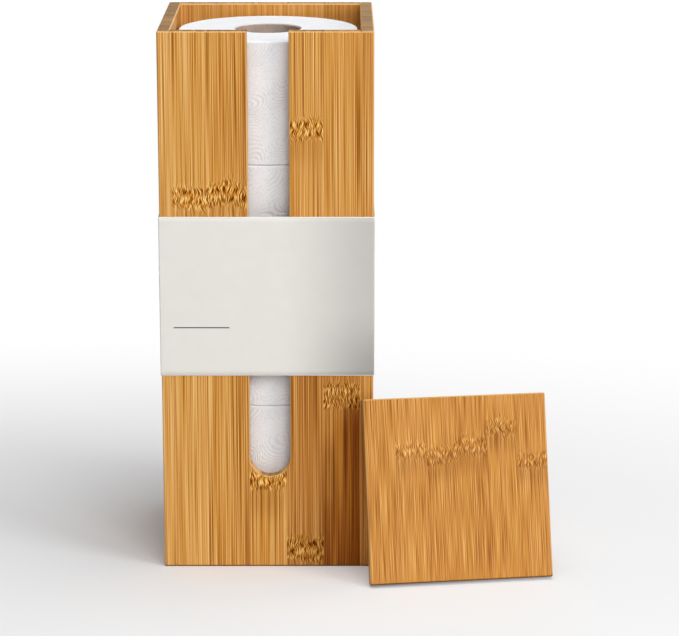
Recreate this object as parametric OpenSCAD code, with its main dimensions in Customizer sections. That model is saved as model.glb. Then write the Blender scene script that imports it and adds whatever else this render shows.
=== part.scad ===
// Bamboo storage box for a stack of toilet rolls, with a lift-off lid leaned on its front right edge.
// The origin is the centre of the box's footprint on the floor. X runs to the right, Y to the back, Z up.

/* [Rolls] */
// Outside diameter of a toilet roll
roll_d = 129; // [110:0.5:140]
// Height of a toilet roll
roll_h = 87.2; // [80:0.1:110]
// Thickness of the outermost turn of paper, which ends in a step
sheet_step = 0.6; // [0.3:0.1:1.2]
// Outside diameter of the cardboard tube
core_d = 48; // [38:0.5:56]
// Wall of the cardboard tube
core_wall = 1.2; // [0.6:0.1:2.5]

/* [Box] */
// Thickness of the four upright panels
wall = 9; // [7:0.5:14]
// Room between the rolls and the panels, each side
roll_side_gap = 1.5; // [1:0.1:6]
// Thickness of the raised floor panel
base_t = 5.5; // [4:0.5:9]
// Height of the floor panel's underside above the table
base_lift = 24; // [12:1:40]
// Depth of the groove that holds the floor panel
groove_depth = 3; // [2:0.25:4]
// Room between the stacked rolls' top and the closed lid
lid_drop = 0.5; // [0.3:0.1:6]
// Width of the eased outer edges
edge_ease = 0.8; // [0.3:0.1:1.5]
// Width of the eased edges along the two glue lines on the front and back
joint_ease = 0.3; // [0.1:0.1:0.6]

/* [Front slot] */
// Width of the slot
slot_w = 28.8; // [16:0.2:50]
// Distance of the slot's middle line to the right of the box's
slot_offset = 1.5; // [-8:0.1:8]
// Height of the slot's lowest point above the table
slot_sill = 68; // [45:0.5:110]

/* [Lid] */
// Thickness of the lid
lid_t = 8; // [5:0.5:14]
// Room between the closed lid and the panels, each side
lid_play = 0.4; // [0.3:0.05:2]
// Backward lean of the lid as it stands against the box
lid_lean = 17; // [10:0.5:24]
// Turn of the leaning lid, with its right end towards the back
lid_yaw = 8.2; // [5:0.1:14]
// How far the lid's lower left corner stands inside the line of the box's right face
lid_tuck = 3; // [0:0.1:4]
// Room left between the leaning lid and the edge it leans on
lean_gap = 0.3; // [0.2:0.05:1]

/* [Paper sleeve] */
// Height of the sleeve's lower edge above the table
sleeve_z = 143; // [138:0.5:200]
// Height of the band
sleeve_h = 115; // [60:1:160]
// Thickness of its paper
sleeve_t = 0.5; // [0.3:0.05:1]
// Room between the band and the box
sleeve_play = 0.3; // [0.2:0.05:1]
// Width of the glued overlap at the back
sleeve_overlap = 22; // [10:1:40]

/* [Hidden dowels] */
// Diameter of a dowel
dowel_d = 5; // [4:0.5:6]
// Length of a dowel
dowel_len = 16; // [12:0.5:24]
// Depth of a dowel in the side panel
dowel_in_side = 5; // [3:0.5:6]
// Dowels in each of the four joints
dowel_count = 4; // [2:1:6]
// Distance of the end dowels from the box's top and bottom
dowel_end = 46; // [42:1:60]

/* [Hidden] */
roll_count = 4;
// Running room between two stacked rolls, and under the lowest one
stack_gap = 0.3;
// Glue room round a dowel and past its ends
dowel_glue = 0.05;
dowel_end_room = 0.5;
// Room round the floor panel's edges and above it in the groove
groove_play = 0.2;
// Turn of the first roll's loose end, and the turn added for each roll above
tail_first = 135;
tail_turn = 95;
// Radius of the fold at the sleeve's corners, inside
sleeve_fold = 0.4;
// Room for cutters to pass the faces that they open
past = 1;

roll_r = roll_d / 2;
roll_pitch = roll_h + stack_gap;
mouth = roll_d + 2 * roll_side_gap;
half_mouth = mouth / 2;
box_w = mouth + 2 * wall;
half_box = box_w / 2;
base_top = base_lift + base_t;
stack_top = base_top + roll_count * roll_pitch;
box_h = stack_top + lid_drop + lid_t;
slot_r = slot_w / 2;
slot_end_z = slot_sill + slot_r;
lid_w = mouth - 2 * lid_play;
dowel_pitch = (box_h - 2 * dowel_end) / (dowel_count - 1);

BAMBOO = [0.83, 0.62, 0.36];
BAMBOO_SIDE = [0.79, 0.58, 0.33];
BAMBOO_DARK = [0.66, 0.46, 0.25];
DOWEL_WOOD = [0.85, 0.72, 0.52];
TISSUE = [0.95, 0.95, 0.94];
CARDBOARD = [0.62, 0.52, 0.44];
SLEEVE_PAPER = [0.91, 0.90, 0.87];

// A rectangle between two corners, with each corner cut off at 45 degrees by its own width:
// the widths are those at low x low y, high x low y, high x high y and low x high y.
module eased_rect(low, high, eases) {
    polygon([
        [low[0] + eases[0], low[1]], [high[0] - eases[1], low[1]],
        [high[0], low[1] + eases[1]], [high[0], high[1] - eases[2]],
        [high[0] - eases[2], high[1]], [low[0] + eases[3], high[1]],
        [low[0], high[1] - eases[3]], [low[0], low[1] + eases[0]]
    ]);
}

// Stands a flat outline up: its x becomes Y or stays X, its y becomes Z, and it is drawn out both ways.
module across_x(length) {
    rotate([90, 0, 90]) linear_extrude(length, center = true) children();
}

module across_y(length) {
    rotate([90, 0, 0]) linear_extrude(length, center = true) children();
}

// A board of the front or back, between the side panels, with its outer face at y = -half_box
module cross_board() {
    intersection() {
        linear_extrude(box_h)
            eased_rect([-half_mouth, -half_box], [half_mouth, -half_mouth], [joint_ease, joint_ease, 0, 0]);
        across_x(mouth)
            eased_rect([-half_box, 0], [-half_mouth, box_h], [edge_ease, edge_ease, edge_ease, edge_ease]);
    }
}

// A full-depth board of the right side, with its outer face at x = half_box
module side_board() {
    intersection() {
        linear_extrude(box_h)
            eased_rect([half_mouth, -half_box], [half_box, half_box],
                [joint_ease, edge_ease, edge_ease, joint_ease]);
        across_x(3 * box_w)
            eased_rect([-half_box, 0], [half_box, box_h], [edge_ease, edge_ease, edge_ease, edge_ease]);
        across_y(box_w)
            eased_rect([half_mouth, 0], [half_box, box_h], [edge_ease, edge_ease, edge_ease, edge_ease]);
    }
}

// The groove for the floor panel, cut into the inner face of the board at y = -half_mouth
module base_groove() {
    translate([-half_mouth, -half_mouth - groove_depth, base_lift])
        cube([mouth, groove_depth + past, base_t + groove_play]);
}

// The outline of the slot at a given distance outside its edge, open at the top
module slot_outline(extra) {
    translate([slot_offset, slot_end_z]) circle(slot_r + extra, $fn = 72);
    translate([slot_offset - slot_r - extra, slot_end_z])
        square([slot_w + 2 * extra, box_h - slot_end_z + past]);
}

// The cutter that eases the slot's edge on the face at y = 0, going into the board towards +Y
module slot_easing() {
    translate([slot_offset, 0, slot_end_z]) rotate([-90, 0, 0])
        cylinder(h = edge_ease, r1 = slot_r + edge_ease, r2 = slot_r, $fn = 72);
    translate([slot_offset, 0, slot_end_z])
        linear_extrude(box_h - slot_end_z + past)
            polygon([
                [-slot_r - edge_ease, 0], [slot_r + edge_ease, 0],
                [slot_r, edge_ease], [-slot_r, edge_ease]
            ]);
}

module dowel() {
    nose = dowel_d / 10;
    rotate([0, 90, 0]) rotate_extrude($fn = 32) polygon([
        [0, 0], [dowel_d / 2 - nose, 0], [dowel_d / 2, nose],
        [dowel_d / 2, dowel_len - nose], [dowel_d / 2 - nose, dowel_len], [0, dowel_len]
    ]);
}

module dowel_hole() {
    translate([-dowel_end_room, 0, 0]) rotate([0, 90, 0])
        cylinder(h = dowel_len + 2 * dowel_end_room, d = dowel_d + 2 * dowel_glue, $fn = 32);
}

// Places a dowel or its hole at each height of the front right joint
module at_front_right_dowels() {
    for (k = [0:dowel_count - 1])
        translate([half_mouth + dowel_in_side - dowel_len, -(half_mouth + wall / 2), dowel_end + k * dowel_pitch])
            children();
}

// Places something made for the front right joint at any of the four
module at_joint(side, face) {
    mirror([side < 0 ? 1 : 0, 0, 0]) mirror([0, face > 0 ? 1 : 0, 0]) children();
}

module dowel_group(side, face) {
    color(DOWEL_WOOD) at_joint(side, face) at_front_right_dowels() dowel();
}

module dowel_holes(side, face) {
    at_joint(side, face) at_front_right_dowels() dowel_hole();
}

module front_panel() {
    color(BAMBOO) difference() {
        cross_board();
        across_y(3 * box_w) slot_outline(0);
        translate([0, -half_box, 0]) slot_easing();
        translate([0, -half_mouth, 0]) mirror([0, 1, 0]) slot_easing();
        base_groove();
        dowel_holes(1, -1);
        dowel_holes(-1, -1);
    }
}

module back_panel() {
    color(BAMBOO) difference() {
        rotate([0, 0, 180]) cross_board();
        rotate([0, 0, 180]) base_groove();
        dowel_holes(1, 1);
        dowel_holes(-1, 1);
    }
}

module right_side_panel() {
    color(BAMBOO_SIDE) difference() {
        side_board();
        rotate([0, 0, 90]) base_groove();
        dowel_holes(1, -1);
        dowel_holes(1, 1);
    }
}

module left_side_panel() {
    color(BAMBOO_SIDE) difference() {
        mirror([1, 0, 0]) side_board();
        rotate([0, 0, -90]) base_groove();
        dowel_holes(-1, -1);
        dowel_holes(-1, 1);
    }
}

// The raised floor: a square with a tongue into each groove and its four corners notched out
module base_panel() {
    tongue_w = mouth + 2 * (groove_depth - groove_play);
    body_w = mouth - 2 * groove_play;
    color(BAMBOO_DARK) translate([0, 0, base_lift]) linear_extrude(base_t) {
        square([tongue_w, body_w], center = true);
        square([body_w, tongue_w], center = true);
    }
}

// Height of the underside of roll i, counted from 1 at the bottom
function roll_z(i) = base_top + stack_gap + (i - 1) * roll_pitch;

// Half of a disc, on the side of y that is given
module half_disc(r, side) {
    intersection() {
        circle(r, $fn = 96);
        translate([-2 * roll_r, side > 0 ? 0 : -2 * roll_r]) square([4 * roll_r, 2 * roll_r]);
    }
}

// The wound paper: two half discs whose radii differ by half a turn's rise make one turn of a winding
// that ends in a step, where the sheet's loose end lies
module roll_paper(i) {
    inner_turn_r = roll_r - sheet_step;
    color(TISSUE) translate([0, 0, roll_z(i)]) rotate([0, 0, tail_first + (i - 1) * tail_turn])
        difference() {
            linear_extrude(roll_h) {
                half_disc(inner_turn_r, 1);
                translate([sheet_step / 2, 0]) half_disc(inner_turn_r + sheet_step / 2, -1);
            }
            translate([0, 0, -past]) cylinder(h = roll_h + 2 * past, d = core_d, $fn = 72);
        }
}

module roll_core(i) {
    color(CARDBOARD) translate([0, 0, roll_z(i)]) difference() {
        cylinder(h = roll_h, d = core_d, $fn = 72);
        translate([0, 0, -past]) cylinder(h = roll_h + 2 * past, d = core_d - 2 * core_wall, $fn = 72);
    }
}

// A square with rounded corners
module rounded_square(w, r) {
    square([w, w - 2 * r], center = true);
    square([w - 2 * r, w], center = true);
    for (x = [-1, 1], y = [-1, 1])
        translate([x * (w / 2 - r), y * (w / 2 - r)]) circle(r, $fn = 24);
}

// The band round the box, its two ends lapped and glued in the middle of the back
module paper_sleeve() {
    inner_w = box_w + 2 * sleeve_play;
    color(SLEEVE_PAPER) translate([0, 0, sleeve_z]) linear_extrude(sleeve_h) {
        difference() {
            rounded_square(inner_w + 2 * sleeve_t, sleeve_fold + sleeve_t);
            rounded_square(inner_w, sleeve_fold);
        }
        translate([-sleeve_overlap / 2, inner_w / 2 + sleeve_t / 2])
            square([sleeve_overlap, sleeve_t * 3 / 2]);
    }
}

// A square board with all its edges eased, standing on its lower edge: x from 0, face at y = 0, z from 0
module lid_board() {
    e4 = [edge_ease, edge_ease, edge_ease, edge_ease];
    intersection() {
        linear_extrude(lid_w) eased_rect([0, -lid_t], [lid_w, 0], e4);
        across_x(3 * lid_w) eased_rect([-lid_t, 0], [0, lid_w], e4);
        across_y(3 * lid_t) eased_rect([0, 0], [lid_w, lid_w], e4);
    }
}

// Depth of the lid's lower left back corner, so that its top back edge ends lean_gap short of the box's edge:
// both are measured along the way in which the turned lid faces back
function lid_foot_y(foot_x) =
    let (facing_back = [-sin(lid_yaw), cos(lid_yaw)],
        reach = facing_back * [half_box, -half_box] - lid_w * sin(lid_lean) - lean_gap)
    (reach - facing_back[0] * foot_x) / facing_back[1];

module lid() {
    foot_x = half_box - lid_tuck;
    color(BAMBOO) translate([foot_x, lid_foot_y(foot_x), 0])
        rotate([0, 0, lid_yaw]) rotate([-lid_lean, 0, 0]) lid_board();
}

front_panel();
back_panel();
left_side_panel();
right_side_panel();
base_panel();
dowel_group(-1, -1);  // dowels_front_left
dowel_group(1, -1);  // dowels_front_right
dowel_group(-1, 1);  // dowels_back_left
dowel_group(1, 1);  // dowels_back_right
for (i = [1:roll_count]) roll_paper(i);
for (i = [1:roll_count]) roll_core(i);
paper_sleeve();
lid();
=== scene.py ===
"""Looks of a tall bamboo storage box for toilet rolls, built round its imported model.

The boards, floor panel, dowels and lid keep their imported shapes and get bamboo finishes. The four wound
rolls, their cardboard tubes and the paper band round the box are modelled here and stand for the plain
solids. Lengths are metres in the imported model's frame: X to the right, Y to the back, Z up from the floor.
"""

import logging
import math
from collections.abc import Iterable, Sequence
from dataclasses import dataclass
from enum import Enum

import bpy
import numpy as np
from bpy.types import ID, Material, Node, NodeSocket, NodeTree, Object
from mathutils import Euler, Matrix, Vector


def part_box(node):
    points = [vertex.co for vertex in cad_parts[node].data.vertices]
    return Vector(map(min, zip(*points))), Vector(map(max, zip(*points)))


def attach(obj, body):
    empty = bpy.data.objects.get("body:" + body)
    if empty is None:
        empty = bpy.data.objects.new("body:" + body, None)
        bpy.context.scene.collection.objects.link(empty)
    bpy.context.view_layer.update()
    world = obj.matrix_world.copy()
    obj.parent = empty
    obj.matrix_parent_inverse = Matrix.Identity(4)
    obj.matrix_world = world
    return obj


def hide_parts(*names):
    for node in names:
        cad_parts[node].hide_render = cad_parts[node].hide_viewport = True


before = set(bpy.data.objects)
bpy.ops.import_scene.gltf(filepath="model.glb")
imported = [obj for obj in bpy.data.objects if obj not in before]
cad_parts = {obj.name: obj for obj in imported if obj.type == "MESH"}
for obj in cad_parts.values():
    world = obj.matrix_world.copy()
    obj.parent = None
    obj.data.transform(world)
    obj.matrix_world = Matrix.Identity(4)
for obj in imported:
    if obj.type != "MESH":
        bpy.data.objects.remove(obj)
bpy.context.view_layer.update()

LOG = logging.getLogger("holder")
MM = 0.001
WHITE = (1.0, 1.0, 1.0, 1.0)
Colour = tuple[float, float, float, float]
Triple = tuple[float, float, float]


def paint(*screen: int) -> Colour:
    """The linear colour, as shaders want it, of a screen's red, green and blue from 0 to 255."""
    share = np.array(screen) / 255
    return (*map(float, np.where(share <= 0.04045, share / 12.92, ((share + 0.055) / 1.055) ** 2.4)), 1.0)


class Wire:
    """A node's output; plain arithmetic with it adds Math nodes to its graph."""

    def __init__(self, graph: "Graph", socket: NodeSocket) -> None:
        """Keeps the output and the graph that it is in."""
        self.graph, self.socket = graph, socket

    def __add__(self, term: "Term") -> "Wire":
        """This plus a term."""
        return self.graph.number("ADD", self, term)

    def __sub__(self, term: "Term") -> "Wire":
        """This less a term."""
        return self.graph.number("SUBTRACT", self, term)

    def __rsub__(self, term: "Term") -> "Wire":
        """A term less this."""
        return self.graph.number("SUBTRACT", term, self)

    def __mul__(self, term: "Term") -> "Wire":
        """This times a term."""
        return self.graph.number("MULTIPLY", self, term)

    def __truediv__(self, term: "Term") -> "Wire":
        """This over a term."""
        return self.graph.number("DIVIDE", self, term)

    def __abs__(self) -> "Wire":
        """This without its sign."""
        return self.graph.number("ABSOLUTE", self)

    def line(self, slope: "Term", start: "Term") -> "Wire":
        """This times a slope, plus a start, in one node."""
        return self.graph.number("MULTIPLY_ADD", self, slope, start)


Term = Wire | float | tuple
Feeds = Iterable[tuple[int | str, Term]]


class Graph:
    """Adds and links shader nodes in one node tree."""

    def __init__(self, tree: NodeTree) -> None:
        """Keeps the node tree that is drawn in."""
        self.tree = tree

    def feed(self, socket: NodeSocket, term: Term) -> None:
        """Links an input to a wire, or sets its value to a plain number or tuple.

        Args:
            socket: the input.
            term: what feeds it.
        """
        if isinstance(term, Wire):
            self.tree.links.new(term.socket, socket)
        else:
            socket.default_value = term

    def add(self, kind: str, inputs: Feeds = (), **settings: object) -> Node:
        """Adds a node.

        Args:
            kind: the node's type, without its ShaderNode prefix.
            inputs: what feeds its inputs, as pairs of an input's index or name and a term.
            **settings: properties to set on it.

        Returns:
            The new node.
        """
        node = self.tree.nodes.new("ShaderNode" + kind)
        for name, value in settings.items():
            setattr(node, name, value)
        for key, term in inputs:
            self.feed(node.inputs[key], term)
        return node

    def wire(self, kind: str, inputs: Feeds = (), out: int | str = 0, **settings: object) -> Wire:
        """Adds a node as add does, and gives the output that out names."""
        return Wire(self, self.add(kind, inputs, **settings).outputs[out])

    def number(self, operation: str, *terms: Term, clamp: bool = False) -> Wire:
        """Does a Math node's operation on numbers; clamp keeps the result from 0 to 1."""
        return self.wire("Math", enumerate(terms), operation=operation, use_clamp=clamp)

    def length(self, first: Wire, second: Wire) -> Wire:
        """The long side of a right-angled triangle with these two short sides."""
        return self.number("SQRT", first * first + second * second)

    def vector(self, operation: str, *terms: Term) -> Wire:
        """Does a Vector Math operation, term by term, that gives a vector."""
        return self.wire("VectorMath", enumerate(terms), "Vector", operation=operation)

    def parts(self, vector: Term) -> tuple[Wire, ...]:
        """The three numbers of a vector."""
        return tuple(Wire(self, socket) for socket in self.add("SeparateXYZ", [(0, vector)]).outputs)

    def joined(self, *numbers: Term) -> Wire:
        """A vector of three numbers."""
        return self.wire("CombineXYZ", enumerate(numbers))

    def noise(self, place: Term, stretch: Triple, detail: float = 2.0, distortion: float = 0.0) -> Wire:
        """Fractal noise from 0 to 1, about 0.5 on average.

        Args:
            place: where it is read.
            stretch: features per metre along each axis.
            detail: octaves of finer noise added.
            distortion: how far the noise bends itself.

        Returns:
            The noise.
        """
        inputs = {"Vector": self.vector("MULTIPLY", place, stretch), "Scale": 1.0, "Detail": detail,
                  "Distortion": distortion}
        return self.wire("TexNoise", inputs.items(), noise_dimensions="3D")

    def rise(self, value: Term, low: Term, high: Term) -> Wire:
        """A smooth rise from 0 where value is low to 1 where it is high, or a fall if low is above high."""
        inputs = enumerate((value, low, high))
        return self.wire("MapRange", inputs, interpolation_type="SMOOTHSTEP", clamp=True)

    def blend(self, share: Term, first: Term, second: Term, mode: str = "MIX") -> Wire:
        """The first colour where share is 0, acted on by the second, as mode names it, where share is 1."""
        inputs = ((0, share), (6, first), (7, second))
        return self.wire("Mix", inputs, 2, data_type="RGBA", blend_type=mode)

    def scale(self, share: Term, stops: Sequence[tuple[float, Colour]], stepped: bool = False) -> Wire:
        """A colour read off a scale of colours.

        Args:
            share: where it is read, from 0 to 1.
            stops: places on the scale and their colours, in rising order.
            stepped: whether each colour holds up to the next place.

        Returns:
            The colour.
        """
        node = self.add("ValToRGB", [(0, share)])
        ramp = node.color_ramp
        ramp.interpolation = "CONSTANT" if stepped else "LINEAR"
        while len(ramp.elements) < len(stops):
            ramp.elements.new(0.5)
        for element, (position, colour) in zip(ramp.elements, stops):
            element.position, element.color = position, colour
        return Wire(self, node.outputs[0])

    def chance(self, number: Term) -> tuple[Wire, Wire]:
        """A number and a colour drawn at random for each whole number that comes in."""
        node = self.add("TexWhiteNoise", [("W", number)], noise_dimensions="1D")
        return Wire(self, node.outputs["Value"]), Wire(self, node.outputs["Color"])

    def strip(self, across: Wire, given: dict[str, Wire]) -> tuple[Wire, Wire, Wire]:
        """Finds the strip of a board that a place is on.

        Args:
            across: the place across the strips.
            given: a group's inputs, with the strips' width, shift and seed.

        Returns:
            The number and the colour drawn for the strip, and how many of its widths away its edge is.
        """
        count = (across + given["Shift"]) / given["Strip width"]
        inside = self.number("FRACT", count)
        drawn = self.chance(self.number("FLOOR", count) + given["Seed"])
        return *drawn, self.number("MINIMUM", inside, 1.0 - inside)

    def seen(self, *rays: str) -> Wire:
        """Tells some kinds of rays from the rest.

        Args:
            *rays: the kinds, as the Light Path node names them.

        Returns:
            1 for those kinds and 0 for the others.
        """
        path = self.add("LightPath")
        share, *others = (Wire(self, path.outputs[f"Is {ray} Ray"]) for ray in rays)
        for other in others:
            share = self.number("ADD", share, other, clamp=True)
        return share

    def show(self, output: str, share: Wire, first: Wire, second: Wire) -> None:
        """Feeds the tree's output with the first shader, and with the second one by its share."""
        mix = self.wire("MixShader", enumerate((share, first, second)))
        self.feed(self.tree.nodes[output].inputs["Surface"], mix)


def linked(name: str, data: ID) -> Object:
    """Makes an object and links it to the scene.

    Args:
        name: its name.
        data: its mesh, lamp or camera.

    Returns:
        The object.
    """
    obj = bpy.data.objects.new(name, data)
    bpy.context.scene.collection.objects.link(obj)
    return obj


class Kind(Enum):
    """What a group's socket carries."""

    NUMBER = "NodeSocketFloat"
    VECTOR = "NodeSocketVector"
    COLOUR = "NodeSocketColor"


def numbers(*names: str) -> dict[str, Kind]:
    """Sockets of these names that carry numbers."""
    return dict.fromkeys(names, Kind.NUMBER)


class Effect:
    """A shader node group that is made on its first use and then placed in any material."""

    title: str = "effect"
    takes: dict[str, Kind] = {}
    gives: dict[str, Kind] = {}

    def draw(self, graph: Graph, given: dict[str, Wire]) -> dict[str, Term]:
        """Draws the group's inside; each effect has its own.

        Args:
            graph: the group's graph.
            given: the group's inputs by name.

        Returns:
            What goes to each output, by name.
        """
        raise NotImplementedError

    def tree(self) -> NodeTree:
        """Finds the group's node tree, or makes it.

        Returns:
            The tree.
        """
        known = bpy.data.node_groups.get(self.title)
        if known:
            return known
        tree = bpy.data.node_groups.new(self.title, "ShaderNodeTree")
        for way, ports in (("INPUT", self.takes), ("OUTPUT", self.gives)):
            for name, kind in ports.items():
                tree.interface.new_socket(name=name, in_out=way, socket_type=kind.value)
        entry, end = tree.nodes.new("NodeGroupInput"), tree.nodes.new("NodeGroupOutput")
        graph = Graph(tree)
        given = {name: Wire(graph, entry.outputs[name]) for name in self.takes}
        for name, term in self.draw(graph, given).items():
            graph.feed(end.inputs[name], term)
        return tree

    def place(self, graph: Graph, **given: Term) -> dict[str, Wire]:
        """Places the group in a material.

        Args:
            graph: the material's graph.
            **given: what feeds each input, named in small letters with underscores for spaces.

        Returns:
            The group's outputs by name.
        """
        inputs = ((name.replace("_", " ").capitalize(), term) for name, term in given.items())
        node = graph.add("Group", inputs, node_tree=self.tree())
        return {name: Wire(graph, node.outputs[name]) for name in self.gives}


class Knuckle(Effect):
    """The ring of a bamboo stem where it crosses one strip: a band, the halo in which fibres bend to it, and
    the darker tail below, which also serves to paint shade."""

    title = "bamboo knuckle"
    takes = {"Place": Kind.VECTOR,
             **numbers("Across", "Along", "Half width", "Half height", "Tail", "Dark", "Clear")}
    gives = numbers("Band", "Halo", "Stain")

    def draw(self, graph: Graph, given: dict[str, Wire]) -> dict[str, Term]:
        """The band is 1 inside its ragged upper and lower edges, the halo fades over 8 mm past them, and the
        darker tail, stain and painted shade alike, sets in below over a twentieth of the tail's length and
        fades over all of it."""
        across, along, _ = graph.parts(given["Place"])
        inside = graph.rise(abs(across - given["Across"]) - given["Half width"], 0.2 * MM, -0.2 * MM)
        wave = graph.noise(given["Place"], (120.0, 12.0, 60.0), detail=0.0)
        tips = graph.noise(given["Place"], (620.0, 25.0, 200.0), detail=0.0)
        height = along - given["Along"] + (tips - 0.5).line(5 * MM, (wave - 0.5) * (7 * MM))
        over = abs(height) - given["Half height"]
        band = inside * graph.rise(over, 2.2 * MM, -1.8 * MM) * given["Clear"]
        bending = graph.number("MULTIPLY", given["Clear"], 2.0, clamp=True)
        halo = inside * graph.rise(over, 8 * MM, -1.0 * MM) * bending
        under = graph.rise(height, 2 * MM, given["Tail"].line(-0.05, -4 * MM))
        under = under * graph.rise(over, given["Tail"], given["Tail"] * 0.3) * given["Dark"]
        return {"Band": band, "Halo": halo, "Stain": inside * under}


STRIP_PORTS = {"Place": Kind.VECTOR, **numbers("Strip width", "Shift", "Seed")}


class BambooStrips(Effect):
    """Pressed bamboo: strips side by side, each with its own tint, fibres and knuckle bands."""

    title = "bamboo strips"
    takes = {**STRIP_PORTS,
             **numbers("Tint", "Fineness", "Shortness", "Contrast", "Band", "Halo", "Stain")}
    gives = {"Colour": Kind.COLOUR, **numbers("Roughness", "Height")}
    layers = ((150.0, 1.5, 0.09), (430.0, 3.5, 0.07), (850.0, 6.5, 0.28), (1620.0, 13.0, 1.25))
    wood = ((0.12, paint(142, 80, 14)), (0.32, paint(184, 119, 42)), (0.50, paint(213, 150, 72)),
            (0.66, paint(228, 172, 96)), (0.88, paint(243, 198, 128)))
    # Darker wood for stains and for painted shade.
    stained = ((0.26, paint(98, 36, 0)), (0.50, paint(138, 66, 0)), (0.70, paint(174, 100, 8)),
               (0.88, paint(196, 128, 30)))
    dashes = ((0.37, paint(100, 42, 0)), (0.44, paint(156, 84, 4)), (0.50, paint(202, 128, 34)),
              (0.56, paint(234, 172, 76)), (0.62, paint(255, 214, 134)))

    def fibres(self, graph: Graph, place: Term) -> tuple[Wire, Wire]:
        """The fibres' tone and relief.

        They are layers of noise stretched along the strip, from 6 mm wide to 0.6 mm, and thin dark lines
        where a finer noise peaks. A layer is its features per metre across and along, and its weight.

        Args:
            graph: the group's graph.
            place: across, along and through the strip, bent where the fibres bend.

        Returns:
            The tone, about 0 on average, and the relief.
        """
        made = [graph.noise(place, (fine, long, fine), detail=0.0) for fine, long, _ in self.layers]
        tone: Term = 0.0
        for layer, (_, _, weight) in zip(made, self.layers):
            tone = (layer - 0.5).line(weight, tone)
        peaks = graph.noise(graph.vector("ADD", place, (0.37, 1.7, 0.0)), (1150.0, 6.0, 1150.0), detail=0.0)
        return graph.rise(peaks, 0.67, 0.75).line(-0.15, tone), made[2] * 0.6 + made[3] * 0.4

    def draw(self, graph: Graph, given: dict[str, Wire]) -> dict[str, Term]:
        """Each strip reads its fibres at its own place; in a band they break into short leaning dashes."""
        across, along, through = graph.parts(given["Place"])
        luck, draws, edge = graph.strip(across, given)
        _, luck_green, luck_blue = graph.parts(draws)

        bend = graph.noise(given["Place"], (330.0, 120.0, 200.0), detail=1.0)
        sway = graph.noise(given["Place"], (40.0, 6.0, 40.0), detail=0.0)
        here = ((bend - 0.5) * given["Halo"]).line(3.5 * MM, across) + (sway - 0.5) * (1.2 * MM)
        apart = luck.line(7.0, along)
        fine, short = given["Fineness"], given["Shortness"]
        place = graph.joined(here * fine, apart * short, through * fine)

        tone, height = self.fibres(graph, place)
        tone = tone.line(given["Contrast"], given["Tint"] + 0.5)
        colour = graph.scale(tone, self.wood)
        rosy = graph.rise(graph.noise(place, (260.0, 2.0, 260.0), detail=1.0), 0.50, 0.68)
        colour = graph.blend(rosy * 0.30, colour, paint(216, 147, 80))
        golden = graph.rise(graph.noise(place, (150.0, 1.6, 150.0), detail=0.0), 0.52, 0.70)
        colour = graph.blend(golden * luck_green.line(0.3, 0.15), colour, paint(206, 144, 46))
        # Under the stain mask, which also carries painted shade, the wood reads off the darker scale.
        colour = graph.blend(given["Stain"], colour, graph.scale(tone, self.stained))
        joint = graph.rise(edge, 0.014, 0.004) * luck_blue.line(0.4, 0.1)
        colour = graph.blend(joint, colour, paint(150, 92, 34))

        shake = graph.noise(given["Place"], (150.0, 210.0, 150.0), detail=0.0)
        shaken = graph.joined((shake - 0.5).line(3.2 * MM, across), apart, through)
        dash = graph.noise(shaken, (1600.0, 170.0, 1600.0), detail=1.0)
        marks = graph.scale(given["Tint"].line(0.3, dash), self.dashes)
        # Band marks darken under the stain and painted shade too.
        dark_marks = graph.blend(1.0, marks, (0.50, 0.34, 0.14, 1.0), mode="MULTIPLY")
        colour = graph.blend(given["Band"], colour, graph.blend(given["Stain"], marks, dark_marks))
        return {"Colour": colour, "Roughness": height.line(-0.22, 0.62), "Height": height - joint * 1.2}


class EndGrain(Effect):
    """The sawn ends of the strips: fibre ends as dots in brown wood, with a dark line at each glue joint."""

    title = "bamboo end grain"
    takes = STRIP_PORTS
    gives = {"Colour": Kind.COLOUR}
    wood = ((0.22, paint(100, 70, 28)), (0.42, paint(146, 106, 52)), (0.56, paint(168, 126, 66)),
            (0.78, paint(198, 154, 90)))

    def draw(self, graph: Graph, given: dict[str, Wire]) -> dict[str, Term]:
        """Dots are noise of 0.5 mm across the strip, bars noise of 3 mm, and joints lie on strip edges."""
        luck, _, edge = graph.strip(graph.parts(given["Place"])[0], given)
        dots = graph.noise(given["Place"], (1900.0, 60.0, 1900.0))
        bars = graph.noise(given["Place"], (380.0, 60.0, 45.0))
        tone = (bars - 0.5).line(0.8, (dots - 0.5).line(0.8, (luck - 0.5).line(0.20, 0.5)))
        joint = graph.rise(edge, 0.045, 0.015) * 0.75
        return {"Colour": graph.blend(joint, graph.scale(tone, self.wood), paint(72, 46, 18))}


class BoardFaces(Effect):
    """Tells the faces of a board apart by its normal: the sawn ends, and the eased edges between faces."""

    title = "board faces"
    takes = {"Facing": Kind.VECTOR}
    gives = numbers("End", "Arris")

    def draw(self, graph: Graph, given: dict[str, Wire]) -> dict[str, Term]:
        """An end faces along the grain, and an eased edge faces no axis of the board."""
        sizes = graph.parts(graph.vector("ABSOLUTE", given["Facing"]))
        largest = graph.number("MAXIMUM", graph.number("MAXIMUM", sizes[0], sizes[1]), sizes[2])
        return {"End": graph.rise(sizes[1], 0.80, 0.95), "Arris": graph.rise(largest, 0.95, 0.80)}


class PaperFibre(Effect):
    """The cloudy, fibrous look of paper and board."""

    title = "paper fibre"
    takes = {"Place": Kind.VECTOR, **numbers("Cloud")}
    gives = numbers("Tone", "Height")

    def draw(self, graph: Graph, given: dict[str, Wire]) -> dict[str, Term]:
        """The tone is soft clouds with a little fibre in them, and the height is the fibre alone."""
        clouds = graph.noise(given["Place"], (90.0, 90.0, 90.0), detail=3.0)
        fibre = graph.noise(given["Place"], (1700.0, 1700.0, 1700.0), detail=3.0, distortion=1.2)
        return {"Tone": clouds.line(given["Cloud"], fibre * (1.0 - given["Cloud"])), "Height": fibre}


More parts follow.
